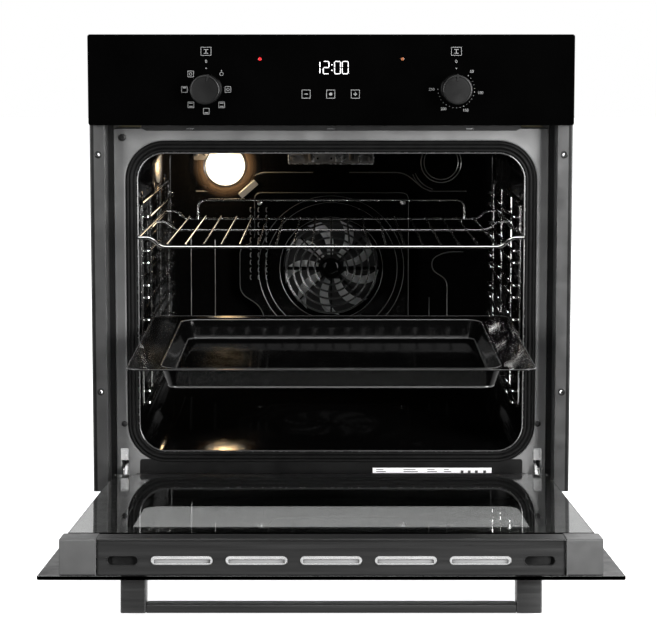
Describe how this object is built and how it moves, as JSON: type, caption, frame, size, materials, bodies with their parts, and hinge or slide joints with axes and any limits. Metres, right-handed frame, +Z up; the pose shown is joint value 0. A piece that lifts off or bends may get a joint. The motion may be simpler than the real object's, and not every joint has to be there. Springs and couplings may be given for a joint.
{
  "type": "wall oven",
  "caption": "Built-in electric oven with a drop-down glass door standing open, fan cavity, wire side racks, pulled-out wire rack and tray.",
  "frame": {"origin": "centre of the body's width on the underside of the base panel, 300 mm behind the face of the control panel", "axes": "+X to the user's right as they face the oven, +Y towards the back, +Z up"},
  "size_m": [0.595, 0.9954, 0.595],
  "materials": {
    "zinc_sheet": "zinc-plated sheet steel",
    "dark_paint": "dark grey painted steel, satin",
    "light_trim": "dark grey painted steel, satin",
    "black_glass": "back-printed black glass, polished",
    "door_glass": "black glass with a clear window, polished",
    "clear_glass": "tinted heat-reflecting glass",
    "enamel": "glossy black enamel on steel",
    "gasket_rubber": "heat-resistant silicone",
    "grey_plastic": "grey moulded plastic",
    "black_plastic": "black moulded plastic",
    "knob_plastic": "satin dark grey",
    "chrome_wire": "bright chrome-plated wire",
    "anodised": "dark anodised, satin",
    "mineral_wool": "mineral wool",
    "ceramic_socket": "white ceramic",
    "lamp_glass": "ribbed lamp glass, lit",
    "red_lens": "red, lit",
    "amber_lens": "amber, lit",
    "label_film": "silver film"
  },
  "bodies": {
    "oven_body": {"side_panel_left": "zinc_sheet", "side_panel_right": "zinc_sheet", "base_panel": "zinc_sheet", "rear_panel": "zinc_sheet", "top_cover": "zinc_sheet", "fan_motor": "zinc_sheet", "grill_element": "zinc_sheet", "bottom_element": "zinc_sheet", "blower_housing": "zinc_sheet", "blower_motor": "zinc_sheet", "hinge_arm_left": "zinc_sheet", "hinge_arm_right": "zinc_sheet", "hinge_receiver_left": "zinc_sheet", "hinge_receiver_right": "zinc_sheet", "frame_screw": "zinc_sheet", "front_frame": "dark_paint", "frame_rivet_left": "dark_paint", "frame_rivet_right": "dark_paint", "side_trim_left": "light_trim", "side_trim_right": "light_trim", "panel_glass": "black_glass", "cavity_liner": "enamel", "fan_cover": "enamel", "cavity_gasket": "gasket_rubber", "selector_switch": "grey_plastic", "thermostat": "grey_plastic", "air_deflector": "black_plastic", "panel_carrier": "black_plastic", "display_module": "black_plastic", "terminal_block": "black_plastic", "side_ladder_left": "chrome_wire", "side_ladder_right": "chrome_wire", "insulation": "mineral_wool", "lamp_housing": "ceramic_socket", "lamp_lens": "lamp_glass", "power_light": "red_lens", "heating_light": "amber_lens", "rating_label": "label_film"},
    "door": {"door_outer_glass": "door_glass", "door_middle_glass": "clear_glass", "door_inner_glass": "clear_glass", "door_top_profile": "light_trim", "door_bottom_profile": "dark_paint", "handle_bar": "anodised", "door_cap_left": "grey_plastic", "door_cap_right": "grey_plastic", "door_side_profile_left": "dark_paint", "door_side_profile_right": "dark_paint", "door_hinge_left": "zinc_sheet", "door_hinge_right": "zinc_sheet", "handle_post_left": "anodised", "handle_post_right": "anodised"},
    "rack": {"wire_rack": "chrome_wire"},
    "tray": {"deep_tray": "enamel"},
    "function_knob": {"knob_function": "knob_plastic"},
    "temperature_knob": {"knob_temperature": "knob_plastic"},
    "fan": {"fan_impeller": "zinc_sheet"},
    "blower": {"blower_rotor": "zinc_sheet"},
    "latch_left": {"hinge_latch_left": "chrome_wire"},
    "latch_right": {"hinge_latch_right": "chrome_wire"}
  },
  "joints": [
    {"name": "door_hinge", "type": "hinge", "parent": "oven_body", "child": "door", "pos_m": [0, -0.276, 0.029], "axis": [-1, 0, 0], "range_deg": [0, 85]},
    {"name": "rack_slide", "type": "slide", "parent": "oven_body", "child": "rack", "axis": [0, 1, 0], "range_m": [0, 0.171]},
    {"name": "tray_slide", "type": "slide", "parent": "oven_body", "child": "tray", "axis": [0, 1, 0], "range_m": [0, 0.3]},
    {"name": "function_turn", "type": "hinge", "parent": "oven_body", "child": "function_knob", "pos_m": [-0.1528, -0.3, 0.528], "axis": [0, 1, 0], "continuous": true},
    {"name": "temperature_turn", "type": "hinge", "parent": "oven_body", "child": "temperature_knob", "pos_m": [0.1528, -0.3, 0.528], "axis": [0, 1, 0], "range_deg": [0, 270]},
    {"name": "fan_spin", "type": "hinge", "parent": "oven_body", "child": "fan", "pos_m": [0, 0.158, 0.252], "axis": [0, 1, 0], "continuous": true},
    {"name": "blower_spin", "type": "hinge", "parent": "oven_body", "child": "blower", "pos_m": [0, -0.095, 0.519], "axis": [1, 0, 0], "continuous": true},
    {"name": "latch_flip_left", "type": "hinge", "parent": "oven_body", "child": "latch_left", "pos_m": [-0.262, -0.264, 0.046], "axis": [-1, 0, 0], "range_deg": [0, 90]},
    {"name": "latch_flip_right", "type": "hinge", "parent": "oven_body", "child": "latch_right", "pos_m": [0.262, -0.264, 0.046], "axis": [-1, 0, 0], "range_deg": [0, 90]}
  ],
  "couplings": [
    {"joint": "rack_slide", "follows": "door_hinge", "m_per_rad": 0.1145},
    {"joint": "tray_slide", "follows": "door_hinge", "m_per_rad": 0.202}
  ]
}
